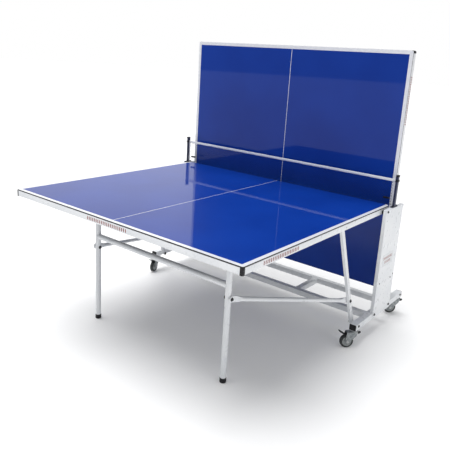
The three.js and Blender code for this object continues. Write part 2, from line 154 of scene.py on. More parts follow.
class Finish:
    """A material under construction: one principled shader and the nodes that feed it."""

    def __init__(self, name, colour, roughness, metallic=0.0, **uniform):
        self.material = bpy.data.materials.new(name)
        self.material.use_nodes = True
        self.tree = self.material.node_tree
        self.shader = self.tree.nodes["Principled BSDF"]
        self.shader.inputs["Base Color"].default_value = (*colour, 1)
        self.shader.inputs["Roughness"].default_value = roughness
        self.shader.inputs["Metallic"].default_value = metallic
        for socket, value in uniform.items():
            self.shader.inputs[socket.replace("_", " ")].default_value = value
        self.place = self.tree.nodes.new("ShaderNodeTexCoord").outputs["Object"]
        self.last_bump = None

    def noise(self, scale, detail=3.0, stretch=(1, 1, 1)):
        mapping = self.tree.nodes.new("ShaderNodeMapping")
        mapping.inputs["Scale"].default_value = stretch
        texture = self.tree.nodes.new("ShaderNodeTexNoise")
        texture.inputs["Scale"].default_value = scale
        texture.inputs["Detail"].default_value = detail
        self.tree.links.new(self.place, mapping.inputs["Vector"])
        self.tree.links.new(mapping.outputs["Vector"], texture.inputs["Vector"])
        return texture.outputs["Fac"]

    def wave(self, scale, direction, distortion=0.0):
        texture = self.tree.nodes.new("ShaderNodeTexWave")
        texture.bands_direction = direction
        texture.inputs["Scale"].default_value = scale
        texture.inputs["Distortion"].default_value = distortion
        self.tree.links.new(self.place, texture.inputs["Vector"])
        return texture.outputs["Fac"]

    def product(self, a, b):
        math_node = self.tree.nodes.new("ShaderNodeMath")
        math_node.operation = "MULTIPLY"
        self.tree.links.new(a, math_node.inputs[0])
        self.tree.links.new(b, math_node.inputs[1])
        return math_node.outputs[0]

    def colours(self, source, dark, light, low=0.35, high=0.65):
        """The base colour wanders from dark to light as the source goes from low to high."""
        ramp = self.tree.nodes.new("ShaderNodeValToRGB")
        ramp.color_ramp.elements[0].position = low
        ramp.color_ramp.elements[1].position = high
        ramp.color_ramp.elements[0].color = (*dark, 1)
        ramp.color_ramp.elements[1].color = (*light, 1)
        self.tree.links.new(source, ramp.inputs["Fac"])
        self.tree.links.new(ramp.outputs["Color"], self.shader.inputs["Base Color"])
        return self

    def gloss(self, source, low, high):
        """The roughness wanders between two values."""
        span = self.tree.nodes.new("ShaderNodeMapRange")
        span.inputs["From Min"].default_value = 0.3
        span.inputs["From Max"].default_value = 0.7
        span.inputs["To Min"].default_value = low
        span.inputs["To Max"].default_value = high
        self.tree.links.new(source, span.inputs["Value"])
        self.tree.links.new(span.outputs["Result"], self.shader.inputs["Roughness"])
        return self

    def skin(self, source, height, strength=1.0):
        """A fine relief of that height in metres."""
        bump = self.tree.nodes.new("ShaderNodeBump")
        bump.inputs["Strength"].default_value = strength
        bump.inputs["Distance"].default_value = height
        self.tree.links.new(source, bump.inputs["Height"])
        if self.last_bump:
            self.tree.links.new(self.last_bump, bump.inputs["Normal"])
        self.last_bump = bump.outputs["Normal"]
        self.tree.links.new(self.last_bump, self.shader.inputs["Normal"])
        return self


print("finish helper ready")

# %% [markdown]
# ## White powder coat
# The tubes, aprons and towers are steel under white powder paint. Powder melts on the steel and
# keeps a faint orange-peel skin, which is what makes its highlights soft and slightly broken.
# A second, slower noise lets the white drift a little, as handled paint does.

# %% White powder coat
white = Finish("white_powder_coat", (0.80, 0.82, 0.84), 0.3, Coat_Weight=0.25, Coat_Roughness=0.15)
white.colours(white.noise(5), (0.74, 0.765, 0.79), (0.83, 0.845, 0.86))
white.gloss(white.noise(40), 0.24, 0.40)
white.skin(white.noise(260, 1), 0.00001, 0.3)
WHITE = white.material
print("made", WHITE.name)

# %% [markdown]
# ## The playing lacquer and its lines
# The top is a thin hard board with a deep blue lacquer, polished enough to mirror the net and the
# standing half. A clear coat over a soft blue base does this: the base gives the blue, and the
# coat gives the sharp reflection that grows towards the far end. The lines are white paint under
# the same coat. The board's edge is sealed black, and its back is a dull dark paper laminate.

# %% Lacquer, lines, edge and back
lacquer = Finish("blue_playing_lacquer", (0.0035, 0.037, 0.295), 0.5,
                 Specular_IOR_Level=0.05, Coat_Weight=0.6, Coat_Roughness=0.03, Coat_IOR=1.40)
lacquer.colours(lacquer.noise(3, 2), (0.0030, 0.034, 0.275), (0.0040, 0.041, 0.315))
lacquer.gloss(lacquer.noise(300, 4), 0.44, 0.56)
lacquer.skin(lacquer.noise(420, 2), 0.00002, 0.35)
BLUE = lacquer.material

paint = Finish("white_line_paint", (0.84, 0.85, 0.87), 0.4, Coat_Weight=0.8, Coat_Roughness=0.05)
paint.colours(paint.noise(60), (0.80, 0.81, 0.84), (0.87, 0.88, 0.89))
paint.skin(paint.noise(700, 2), 0.00003, 0.4)
LINE = paint.material

edging = Finish("black_board_edge", (0.008, 0.008, 0.010), 0.42)
edging.gloss(edging.noise(90), 0.36, 0.5)
edging.skin(edging.noise(900, 2), 0.00003, 0.5)
EDGE = edging.material

laminate = Finish("dark_back_laminate", (0.020, 0.024, 0.034), 0.6)
laminate.colours(laminate.noise(14, 5), (0.016, 0.019, 0.028), (0.028, 0.032, 0.044))
laminate.gloss(laminate.noise(50), 0.5, 0.7)
laminate.skin(laminate.noise(600, 3), 0.00004, 0.5)
BACK = laminate.material
print("made", BLUE.name, LINE.name, EDGE.name, BACK.name)

# %% [markdown]
# ## Plastic, rubber and bare metal
# The caps, plugs and feet are moulded black plastic with a spark-eroded grain. The tyres are a
# softer grey-black rubber, duller and dusty. Bolts are zinc plated: a bright metal whose plating
# is brushed in streaks. The caster forks are the same plating gone grey, and the hubs are a pale
# nylon. The net posts have a navy paint.

# %% Plastic, rubber and metal
moulded = Finish("black_moulded_plastic", (0.010, 0.010, 0.012), 0.45, Specular_IOR_Level=0.3)
moulded.colours(moulded.noise(30), (0.007, 0.007, 0.009), (0.014, 0.014, 0.017))
moulded.gloss(moulded.noise(120), 0.38, 0.55)
moulded.skin(moulded.noise(1400, 2), 0.00005, 0.6)
BLACK = moulded.material

rubber = Finish("dusty_tyre_rubber", (0.035, 0.040, 0.040), 0.75)
rubber.colours(rubber.noise(70, 4), (0.026, 0.030, 0.030), (0.060, 0.066, 0.064))
rubber.gloss(rubber.noise(90), 0.65, 0.85)
rubber.skin(rubber.noise(1600, 2), 0.00008, 0.6)
TYRE = rubber.material

nylon = Finish("pale_hub_nylon", (0.36, 0.38, 0.38), 0.5, Subsurface_Weight=0.05)
nylon.colours(nylon.noise(60), (0.32, 0.34, 0.34), (0.42, 0.44, 0.44))
nylon.skin(nylon.noise(900, 2), 0.00004, 0.4)
NYLON = nylon.material

zinc = Finish("zinc_plating", (0.50, 0.51, 0.52), 0.3, metallic=1.0)
zinc.colours(zinc.noise(220, 4), (0.42, 0.43, 0.44), (0.60, 0.61, 0.60))
zinc.gloss(zinc.noise(500, 3, (1, 1, 0.15)), 0.24, 0.44)
ZINC = zinc.material

pressing = Finish("grey_fork_plating", (0.30, 0.32, 0.33), 0.42, metallic=0.85)
pressing.colours(pressing.noise(110, 4), (0.23, 0.25, 0.26), (0.40, 0.42, 0.42))
pressing.gloss(pressing.noise(240), 0.34, 0.54)
pressing.skin(pressing.noise(700, 2), 0.00004, 0.5)
GREY = pressing.material

dark_zinc = Finish("black_oxide_bolt", (0.055, 0.055, 0.058), 0.42, metallic=0.8)
dark_zinc.colours(dark_zinc.noise(260, 3), (0.040, 0.040, 0.043), (0.085, 0.085, 0.088))
dark_zinc.gloss(dark_zinc.noise(400), 0.34, 0.52)
DARK = dark_zinc.material

navy = Finish("navy_post_paint", (0.014, 0.020, 0.062), 0.38, Coat_Weight=0.2, Coat_Roughness=0.2)
navy.colours(navy.noise(12), (0.012, 0.017, 0.054), (0.018, 0.025, 0.075))
navy.skin(navy.noise(900, 1), 0.00005, 0.5)
NAVY = navy.material
print("made", len(bpy.data.materials), "finishes so far")

# %% [markdown]
# ## Net cord, woven tape and printed ink
# The net is knotted from a navy twine whose strands wind round each other, so a slanting wave
# serves as its twist. The tape is a plain weave: two waves at right angles, multiplied, give the
# over-and-under. The printed bars that stand for lettering are a thin red-brown ink.

# %% Twine, tape and ink
twine = Finish("navy_net_twine", (0.014, 0.032, 0.120), 0.85, Specular_IOR_Level=0.2)
twine.colours(twine.noise(400, 2), (0.011, 0.026, 0.100), (0.018, 0.040, 0.145))
twine.skin(twine.wave(1500, "DIAGONAL"), 0.0001, 0.7)
TWINE = twine.material

weave = Finish("white_woven_tape", (0.86, 0.87, 0.88), 0.75, Sheen_Weight=0.25, Sheen_Roughness=0.4)
weave.colours(weave.noise(90, 3), (0.80, 0.81, 0.83), (0.89, 0.90, 0.91))
weave.skin(weave.product(weave.wave(420, "X"), weave.wave(420, "Z")), 0.00018, 0.8)
TAPE = weave.material

ink = Finish("red_brown_ink", (0.26, 0.055, 0.045), 0.45)
ink.colours(ink.noise(160, 3), (0.22, 0.045, 0.038), (0.34, 0.085, 0.070))
INK = ink.material

film = Finish("pale_label_film", (0.70, 0.72, 0.74), 0.3, Coat_Weight=0.5, Coat_Roughness=0.1)
film.colours(film.noise(30), (0.67, 0.69, 0.71), (0.73, 0.75, 0.77))
FILM = film.material
print("made", TWINE.name, TAPE.name, INK.name, FILM.name)

# %% [markdown]
# ## The frame's material slots
# The frame sorts its pieces into nine slots, such as white paint or steel. One finish dresses each
# slot's own pieces, and a finish such as ink or black oxide is filed under the slot it belongs to.

# %% Slots and the finishes in them
SLOT_FINISH = {
    "white_paint": WHITE, "blue_top": BLUE, "black_plastic": BLACK, "navy_net": TWINE,
    "white_tape": TAPE, "navy_post": NAVY, "steel": ZINC, "caster_grey": GREY, "tyre": TYRE,
}
SLOT_OF = {finish.name: slot for slot, finish in SLOT_FINISH.items()}
SLOT_OF |= {INK.name: "white_paint", FILM.name: "white_paint", DARK.name: "steel", NYLON.name: "tyre"}
print(len(SLOT_FINISH), "slots,", len(SLOT_OF), "finishes in them")

# %% [markdown]
# ## Shapes from rings
# Nearly every small piece here is turned, extruded or bent from one outline. All three are the
# same act: draw a ring of points, draw it again further on, and skin the gap. One class that
# keeps the points and faces is enough, and it leaves no loose edges. A small bevel at the end
# rounds the corners, because a corner with no radius catches no light.

# %% The ring builder


def circle(radius, sides=28):
    turns = [2 * math.pi * k / sides for k in range(sides)]
    return [(radius * math.cos(a), radius * math.sin(a)) for a in turns]


def rounded(width, height, radius, steps=4):
    """A rectangle about the middle, with rounded corners."""
    points = []
    for quarter, (u, v) in enumerate(((1, 1), (-1, 1), (-1, -1), (1, -1))):
        for k in range(steps + 1):
            a = math.pi / 2 * (quarter + k / steps)
            points.append((u * (width / 2 - radius) + radius * math.cos(a),
                           v * (height / 2 - radius) + radius * math.sin(a)))
    return points


def capsule(a, b, radius, steps=8):
    """A bar with round ends from point a to point b."""
    along = math.atan2(b[1] - a[1], b[0] - a[0])
    points = []
    for (u, v), start in ((b, along - math.pi / 2), (a, along + math.pi / 2)):
        for k in range(steps + 1):
            turn = start + math.pi * k / steps
            points.append((u + radius * math.cos(turn), v + radius * math.sin(turn)))
    return points


def axes(origin, x, y, z):
    """A matrix with these three axes at the origin point."""
    turn = Matrix((x, y, z)).transposed().to_4x4()
    return Matrix.Translation(origin) @ turn


def facing_x(x, y, z, way=1):
    """Drawn in Y and Z, growing outward along X the given way."""
    return axes((x, y, z), (0, 1, 0), (0, 0, 1), (way, 0, 0))


def facing_y(x, y, z, way=1):
    """Drawn in X and Z, growing along Y the given way."""
    return axes((x, y, z), (1, 0, 0), (0, 0, 1), (0, way, 0))


def standing(x, y, z):
    return Matrix.Translation((x, y, z))


class Shape:
    """Points and faces of one piece, gathered ring by ring."""

    def __init__(self):
        self.points, self.faces, self.marks = [], [], []

    def skin(self, rings, at=Matrix(), loop=False, mark=0):
        """Joins rings of points. A loop's last ring meets its first; other ends are closed."""
        first, count = len(self.points), len(rings[0])
        self.points += [at @ Vector(p) for ring in rings for p in ring]
        spans = len(rings) if loop else len(rings) - 1
        before = len(self.faces)
        for k in range(spans):
            low, high = first + k * count, first + (k + 1) % len(rings) * count
            for i in range(count):
                j = (i + 1) % count
                self.faces.append((low + i, low + j, high + j, high + i))
        if not loop:
            self.faces.append(tuple(range(first, first + count)))
            self.faces.append(tuple(range(first + (len(rings) - 1) * count, len(self.points))))
        self.marks += [mark] * (len(self.faces) - before)
        return self

    def raised(self, outline, low, high, at=Matrix(), mark=0):
        """An outline drawn flat and raised from low to high."""
        return self.skin([[(u, v, h) for u, v in outline] for h in (low, high)], at, mark=mark)

    def turned(self, profile, at=Matrix(), sides=28, loop=False, mark=0):
        """A profile of (radius, height) pairs turned about the axis."""
        rings = [[(u, v, h) for u, v in circle(r, sides)] for r, h in profile]
        return self.skin(rings, at, loop=loop, mark=mark)

    def bolt(self, at, across=6.5 * MM, height=4.5 * MM, washer=9.5 * MM):
        """A washer with a chamfered hexagon head on it."""
        self.turned([(washer, 0), (washer, 1.2 * MM), (washer - 0.8 * MM, 1.7 * MM)], at, 24)
        top = 1.7 * MM + height
        hexagon = [(across, 1.6 * MM), (across, top - 0.9 * MM), (across * 0.86, top)]
        return self.turned(hexagon, at, 6)

    def screw(self, at, radius=4.5 * MM):
        """A pan head with a shallow round recess."""
        profile = [(radius, 0), (radius * 0.95, 1.2 * MM), (radius * 0.6, 2.2 * MM),
                   (radius * 0.42, 2.3 * MM), (radius * 0.34, 1.2 * MM)]
        return self.turned(profile, at, 20)

    def bead(self, route, radius, sides=8, loop=True):
        """A thin round bead along a list of points."""
        rings = []
        count = len(route)
        for k, point in enumerate(route):
            ahead = route[(k + 1) % count] if loop or k + 1 < count else point
            behind = route[k - 1] if loop or k else point
            along = (Vector(ahead) - Vector(behind)).normalized()
            side = along.orthogonal() if abs(along.z) > 0.9 else along.cross((0, 0, 1))
            side.normalize()
            up = side.cross(along)
            rings.append([Vector(point) + side * u + up * v for u, v in circle(radius, sides)])
        return self.skin(rings, loop=loop)


print("ring builder ready")

# %% [markdown]
# ## From a shape to a piece
# A piece is a shape with its finish and softened corners. It rides on one body of the frame, and
# it may stand for one of the frame's own coarser pieces. What belongs to a half is always drawn
# on the front half, so one more helper carries it to its place and adds the half to each name.

# %% Making pieces


def soften_edges(obj, width):
    """Smooth shading, and a small bevel unless the width is nought."""
    obj.data.polygons.foreach_set("use_smooth", [True] * len(obj.data.polygons))
    if not width:
        return
    bevel = obj.modifiers.new("softened_edges", "BEVEL")
    bevel.width = width
    bevel.segments = 2
    bevel.limit_method = "ANGLE"
    bevel.angle_limit = math.radians(32)
    bevel.harden_normals = True


def fitted(name, mesh, finishes, body, soften, stands_for):
    """Gives a mesh its finishes and softened corners, and lets it ride on its body."""
    for finish in finishes:
        mesh.materials.append(finish)
    obj = put(name, mesh)
    soften_edges(obj, soften)
    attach(obj, body)
    if stands_for:
        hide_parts(stands_for)
    return obj


def piece(name, shape, finish, body, at=Matrix(), soften=0.5 * MM, stands_for=None):
    """A shape made into a mesh with its faces turned outward, and fitted. Finish may be a list."""
    mesh = bpy.data.meshes.new(name)
    mesh.from_pydata([at @ p for p in shape.points], [], shape.faces)
    mesh.polygons.foreach_set("material_index", shape.marks)
    work = bmesh.new()
    work.from_mesh(mesh)
    bmesh.ops.recalc_face_normals(work, faces=work.faces)
    work.to_mesh(mesh)
    work.free()
    finishes = finish if isinstance(finish, list) else [finish]
    return fitted(name, mesh, finishes, body, soften, stands_for)


def half_piece(half, name, shape, finish, body, soften=0.5 * MM, stands_for=None):
    """A piece drawn on the front half and carried to the same body of the given half."""
    return piece(f"{half}_{name}", shape, finish, f"{half}_{body}", placed(half, body), soften,
                 stands_for and f"{half}_{stands_for}")


print("piece makers ready")

# %% [markdown]
# ## The frame's own pieces
# Tubes, towers, rails and struts already have their true shape, so they stay. They only need
# their finish and a small radius on each corner, which folded sheet and drawn tube always have.
# The frame's meshes keep their points: a weld and a bevel sit on top as modifiers.

# %% Finishes for the frame
SOFT_CORNERS = {"tower": 1.2 * MM, "cap": 1.6 * MM, "post": 0.9 * MM}

for row in frame["record"]["subparts"]:
    node = nodes[row["node"]]
    node.data.materials.clear()
    node.data.materials.append(SLOT_FINISH[row["material_slot"]])
    for attribute in ("custom_normal", "sharp_edge", "sharp_face"):
        if attribute in node.data.attributes:
            node.data.attributes.remove(node.data.attributes[attribute])
    weld = node.modifiers.new("welded", "WELD")
    weld.merge_threshold = 0.02 * MM
    soften_edges(node, SOFT_CORNERS.get(row["node"].split("_")[-1], 0.6 * MM))
print("dressed", len(nodes), "frame nodes")

# %% [markdown]
# ## The playing tops
# Each half has a 6 mm board with round corners at the net. A board with painted lines could be
# one flat colour with the lines drawn by the finish, but then the lines would blur and would be
# lost with the finish. Cutting the face along the lines gives crisp edges that stay: the outline
# is one face, sliced by straight cuts, then raised to its thickness. Each side line is 20 mm wide
# and the centre line is 3 mm. There is no line at the net.

# %% The playing tops
EDGE_LINE = 20 * MM
CENTRE_LINE = 3 * MM
NET_CORNER = 22 * MM
END_CORNER = 9 * MM
BOARD = panel_high.z - panel_low.z


def board_outline():
    corners = ((1, panel_high.y, NET_CORNER, 0), (-1, panel_high.y, NET_CORNER, 1),
               (-1, end_y, END_CORNER, 2), (1, end_y, END_CORNER, 3))
    points = []
    for side, y, radius, quarter in corners:
        inward = -1 if y > 0 else 1
        for k in range(11):
            a = math.pi / 2 * (quarter + k / 10)
            points.append((side * (half_width - radius) + radius * math.cos(a),
                           y + inward * radius + radius * math.sin(a)))
    return points


def playing_top(half):
    work = bmesh.new()
    base = panel_low.z
    work.faces.new([work.verts.new((x, y, base)) for x, y in board_outline()])
    line = half_width - EDGE_LINE
    cuts = [((x, 0, 0), (1, 0, 0)) for x in (-line, -CENTRE_LINE / 2, CENTRE_LINE / 2, line)]
    cuts.append(((0, end_y + EDGE_LINE, 0), (0, 1, 0)))
    for point, normal in cuts:
        parts = work.verts[:] + work.edges[:] + work.faces[:]
        bmesh.ops.bisect_plane(work, geom=parts, dist=1e-6, plane_co=point, plane_no=normal)
    raised = bmesh.ops.extrude_face_region(work, geom=work.faces[:])["geom"]
    for vertex in (v for v in raised if isinstance(v, bmesh.types.BMVert)):
        vertex.co.z += BOARD
    bmesh.ops.recalc_face_normals(work, faces=work.faces)
    for face in work.faces:
        middle = face.calc_center_median()
        on_line = (abs(middle.x) > line or abs(middle.x) < CENTRE_LINE / 2
                   or middle.y < end_y + EDGE_LINE)
        if face.normal.z > 0.5:
            face.material_index = 1 if on_line else 0
        else:
            face.material_index = 2 if face.normal.z > -0.5 else 3
    mesh = bpy.data.meshes.new(half + "_playing_top")
    work.to_mesh(mesh)
    work.free()
    mesh.transform(placed(half, "half"))
    return fitted(mesh.name, mesh, (BLUE, LINE, EDGE, BACK), half + "_half", 0.7 * MM, half + "_panel")


for half in HALVES:
    top = playing_top(half)
    print(top.name, len(top.data.polygons), "faces")

# %% [markdown]
# ## Bars where a maker would print a name
# Aprons and towers usually carry printed lettering. Here each place has a plain mark in the same
# red-brown ink: a row of short upright bars, or two rows on the towers. From afar they have the
# weight of a line of print, and close up they are only a pattern. Each bar is a thin film that
# stands a quarter of a millimetre off the paint.

# %% Plain printed bars
FILM_THICK = 0.25 * MM
BARS_TALL = 17 * MM
END_BARS_AT, END_BARS_LONG = -24 * MM, 289 * MM
SIDE_BARS_AT, SIDE_BARS_LONG = -580 * MM, 275 * MM
apron_low, apron_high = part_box("front_end_rail")
apron_mid = (apron_low.z + apron_high.z) / 2


def bar_rows(shape, at, length, height, rows=2, mark=0):
    """Rows of short upright bars, drawn along the first axis."""
    tall = height / (1.5 * rows - 0.5)
    pitch = 0.55 * tall if rows > 1 else 0.75 * tall
    for row in range(rows):
        level = height / 2 - tall / 2 - 1.5 * tall * row
        count = int(length * (1 - 0.28 * row) / pitch)
        for k in range(count):
            u = (k - (count - 1) / 2) * pitch
            bar = rounded(0.45 * pitch, tall, 0.12 * pitch, 2)
            shape.raised([(u + x, level + v) for x, v in bar], 0, FILM_THICK, at, mark)
    return shape


for half in HALVES:
    printed = Shape()
    on_end = facing_y(END_BARS_AT, end_y, apron_mid, -1)
    bar_rows(printed, on_end, END_BARS_LONG, BARS_TALL, rows=1)
    for _, sign in SIDES:
        on_side = facing_x(sign * half_width, SIDE_BARS_AT, apron_mid, sign)
        bar_rows(printed, on_side, SIDE_BARS_LONG, BARS_TALL, rows=1)
    half_piece(half, "apron_bars", printed, INK, "half", 0.08 * MM)
print("printed bars on both halves")

# %% [markdown]
# ## Plugs in the rails' open ends
# The side rails stop short of the net's round corners, and a moulded plug closes each end so
# that no water runs in. A plug is a flange the size of the tube with a shallow dish in it.

# %% Rail plugs


def plug(shape, at, width, height, dish=1.2 * MM, lip=2.5 * MM):
    """A flange with a dished face, growing along the third axis."""
    sizes = ((0, 0), (0, lip - 0.8 * MM), (0.8 * MM, lip), (3.2 * MM, lip), (4.2 * MM, lip - dish))
    rings = []
    for inset, h in sizes:
        outline = rounded(width - 2 * inset, height - 2 * inset, max(2.5 * MM - inset, 0.6 * MM))
        rings.append([(u, v, h) for u, v in outline])
    return shape.skin(rings, at)


rail_low, rail_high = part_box("front_right_side_rail")
rail_width, rail_height = rail_high.x - rail_low.x, rail_high.z - rail_low.z
for half, side, sign in CORNERS:
    middle = sign * (rail_low.x + rail_high.x) / 2
    stop = plug(Shape(), facing_y(middle, rail_high.y + 0.2 * MM, apron_mid),
                rail_width - 0.6 * MM, rail_height - 0.6 * MM)
    half_piece(half, side + "_rail_plug", stop, BLACK, "half", 0.3 * MM)
print("rail plugs:", round(rail_width * 1000, 1), "x", round(rail_height * 1000, 1), "mm")

# %% [markdown]
# ## Corner guards
# A moulded black guard wraps the apron's outer corner and hides where the two rails meet. It is
# one rounded outline raised a little past the rails at the bottom. The rails' mitred ends show as
# a short white return on each side of it, so the two are separate pieces.

# %% Corner guards and mitred rail ends
GUARD, RETURN, PROUD = 14 * MM, 20 * MM, 0.8 * MM


def corner_guard(half, side, sign):
    edge, end = half_width + PROUD, end_y - PROUD
    turn = [(math.sin(math.pi / 2 * k / 8), math.cos(math.pi / 2 * k / 8)) for k in range(9)]
    curve = [(edge - END_CORNER + END_CORNER * u, end + END_CORNER - END_CORNER * v) for u, v in turn]
    outline = [(half_width - GUARD, end_y + GUARD), (half_width - GUARD, end), *curve,
               (edge, end_y + GUARD)]
    guard = Shape().raised([(sign * x, y) for x, y in outline], apron_low.z - 2 * MM, apron_high.z)
    half_piece(half, side + "_corner_guard", guard, BLACK, "half", 0.9 * MM, side + "_corner_cap")
    gap = GUARD - 0.1 * MM
    mitre = [(RETURN, 0), (gap, 0), (gap, gap), (0, gap), (0, RETURN), (RETURN, RETURN)]
    ends = Shape().raised([(sign * (half_width - u), end_y + v) for u, v in mitre],
                          apron_low.z, apron_high.z)
    half_piece(half, side + "_rail_mitre", ends, WHITE, "half")


for corner in CORNERS:
    corner_guard(*corner)
print("corner guards:", round(GUARD * 1000), "mm each way")

# %% [markdown]
# ## Legs
# A leg is a 30 mm round tube. The frame's leg has sixteen flat sides, which shows against a pale
# floor, so a finer tube stands for it: one profile turned in 44 steps, with its rim turned in at
# the top and a black plug pressed into it.

# %% Leg tubes and their plugs
leg_low, leg_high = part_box("front_right_leg")
leg_x, leg_y = (leg_low.x + leg_high.x) / 2, (leg_low.y + leg_high.y) / 2
LEG_RADIUS = (leg_high.x - leg_low.x) / 2
LEG_WALL = 1.5 * MM
LEG_SIDES = 44


def leg_tube(half, side, sign):
    at = standing(sign * leg_x, leg_y, 0)
    top, bottom = leg_high.z, leg_low.z
    inner = LEG_RADIUS - LEG_WALL
    profile = [(inner, bottom), (LEG_RADIUS - 0.4 * MM, bottom), (LEG_RADIUS, bottom + 0.5 * MM),
               (LEG_RADIUS, top - 0.5 * MM), (LEG_RADIUS - 0.4 * MM, top), (inner, top),
               (inner, top - 8 * MM)]
    tube = Shape().turned(profile, at, LEG_SIDES)
    made = half_piece(half, side + "_leg_tube", tube, WHITE, "legs", 0.2 * MM, side + "_leg")
    cap = Shape().turned(
        [(inner - 0.3 * MM, top - 7 * MM), (inner - 0.3 * MM, top), (LEG_RADIUS - 1 * MM, top),
         (LEG_RADIUS - 1 * MM, top + 1 * MM), (LEG_RADIUS - 3 * MM, top + 2 * MM),
         (6 * MM, top + 2.6 * MM)], at, 32)
    half_piece(half, side + "_leg_plug", cap, BLACK, "legs")
    return made


for corner in CORNERS:
    made = leg_tube(*corner)
    print(made.name, len(made.data.vertices), "points")

# %% [markdown]
# ## Feet
# A foot is a black rubber cup with a flat sole, rounded rims and two grooves round it. It could
# be a cylinder with rings stuck on, but one profile turned about the leg's axis has them all.

# %% Ribbed feet
foot_low, foot_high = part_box("front_right_foot")


def foot_profile():
    wide = (foot_high.x - foot_low.x) / 2
    top = leg_low.z
    profile = [(wide - 3 * MM, 0), (wide - 1.2 * MM, 0.6 * MM), (wide, 3 * MM)]
    for groove in (10 * MM, 16 * MM):
        profile += [(wide, groove - 1.4 * MM), (wide - 0.9 * MM, groove - 0.6 * MM),
                    (wide - 0.9 * MM, groove + 0.6 * MM), (wide, groove + 1.4 * MM)]
    profile += [(wide, top - 2 * MM), (wide - 1.2 * MM, top - 0.2 * MM), (11 * MM, top - 0.2 * MM)]
    return profile


for half, side, sign in CORNERS:
    pad = Shape().turned(foot_profile(), standing(sign * leg_x, leg_y, 0), 36)
    half_piece(half, side + "_foot_rubber", pad, BLACK, "legs", 0.25 * MM, side + "_foot")
print("feet:", round((foot_high.x - foot_low.x) * 1000), "mm across")

# %% [markdown]
# ## The leg rail and its welds
# The rail between the legs is the same tube. Its ends are cut to the leg's curve, which fitters
# call a fish mouth: each point of the end ring stops where the leg's round side is. A bead of
# weld follows that curve, and it is what tells the eye that the tubes are joined.

# %% Leg rails
rail_z = sum(corner.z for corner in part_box("front_leg_rail")) / 2


def mouth(sign, gap=0.2 * MM, radius=LEG_RADIUS):
    """The curve where the rail meets the leg on that side."""
    ring = []
    for u, v in circle(radius, LEG_SIDES):
        reach = math.sqrt(max((LEG_RADIUS + gap) ** 2 - min(abs(u), LEG_RADIUS) ** 2, 0))
        ring.append((sign * (leg_x - reach), leg_y + u, rail_z + v))
    return ring


for half in HALVES:
    rail = Shape().skin([mouth(-1), mouth(1)])
    made = half_piece(half, "leg_rail_tube", rail, WHITE, "legs", 0.2 * MM, "leg_rail")
    welds = Shape()
    for _, sign in SIDES:
        welds.bead(mouth(sign, 0.8 * MM, LEG_RADIUS + 0.6 * MM), 1.7 * MM)
    half_piece(half, "leg_rail_welds", welds, WHITE, "legs", 0)
    print(made.name, round(2 * leg_x, 3), "m between the legs")

# %% [markdown]
# ## Rods
# Each rod is a round tube pressed flat at both ends and drilled, and it steps outward from the
# leg to the strut. It is skinned through rings that change from a flat bar to a round one. The
# change follows a smooth curve, because pressed tube swells without a corner.

# %% Rods with pressed ends
rod_pivot = pivots["front_rod_swing"]
rod_low, rod_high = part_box("front_right_rod")
ROD_RADIUS, FLAT_HALF, FLAT_WIDTH = 11 * MM, 2.5 * MM, 16 * MM
FLAT_RUN, NECK_RUN = 30 * MM, 66 * MM
rod_leg = Vector((rod_low.x + FLAT_HALF, rod_pivot.y, rod_pivot.z))
rod_strut = Vector((rod_high.x - FLAT_HALF, rod_high.y - FLAT_WIDTH + 1 * MM,
                    rod_low.z + FLAT_WIDTH - 0.4 * MM))


def ease(share):
    share = min(max(share, 0), 1)
    return share * share * (3 - 2 * share)


def rod_section(from_end):
    """Half width and half thickness of the pressed tube at that distance from its bolt."""
    if from_end < 0:
        return max(FLAT_WIDTH * math.sqrt(max(1 - (from_end / FLAT_WIDTH) ** 2, 0)), 2 * MM), FLAT_HALF
    swell = ease((from_end - FLAT_RUN) / (NECK_RUN - FLAT_RUN))
    return (FLAT_WIDTH + (ROD_RADIUS - FLAT_WIDTH) * swell,
            FLAT_HALF + (ROD_RADIUS - FLAT_HALF) * swell)


def rod_tube(sign):
    run = Vector((0, rod_leg.y - rod_strut.y, rod_leg.z - rod_strut.z))
    length = run.length
    along = run.normalized()
    across = Vector((0, -along.z, along.y))
    round_end = [-16, -15, -12.5, -9, -4, 0, 10]
    stations = [s * MM for s in [*round_end, *range(30, 67, 4), 110]]
    stations += [length - s for s in reversed(stations)]
    rings = []
    for s in stations:
        wide, thick = rod_section(min(s, length - s))
        share = min(max((s - FLAT_RUN) / (length - 2 * FLAT_RUN), 0), 1)
        x = rod_strut.x + (rod_leg.x - rod_strut.x) * share
        middle = Vector((x, rod_strut.y, rod_strut.z)) + along * s
        flat = 0.45 if thick < 0.9 * wide else 1.0
        ring = []
        for k in range(32):
            a = 2 * math.pi * k / 32
            lift = math.copysign(abs(math.sin(a)) ** flat, math.sin(a))
            point = middle + across * wide * math.cos(a) + Vector((thick * lift, 0, 0))
            ring.append((sign * point.x, point.y, point.z))
        rings.append(ring)
    return Shape().skin(rings)


for half, side, sign in CORNERS:
    half_piece(half, side + "_rod_tube", rod_tube(sign), WHITE, "rods", 0.3 * MM, side + "_rod")
print("rods:", round((rod_leg - rod_strut).length, 3), "m between bolts")

# %% [markdown]
# ## Bolts at the pivots
# Every joint of the linkage turns on a bolt. Each bolt rides with the piece its head lies on, so
# nothing is left in the air when the table folds. Between two moving tubes there is a spacer, and
# on each leg a short boss keeps the rod clear of the leg. Bolts that share a body are one piece.

# %% Pivot bolts, spacers and bosses
strut_low, strut_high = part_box("front_right_strut")
strut_top = pivots["front_strut_swing"]
STRUT_END = 12 * MM
strut_foot = Vector((strut_high.x, strut_high.y - STRUT_END, strut_low.z + STRUT_END))
leg_pivot = pivots["front_leg_fold"]
fold_pivot = pivots["front_fold"]
EAR_OUT = LEG_RADIUS + 4.5 * MM
tower_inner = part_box("right_tower")[0].x


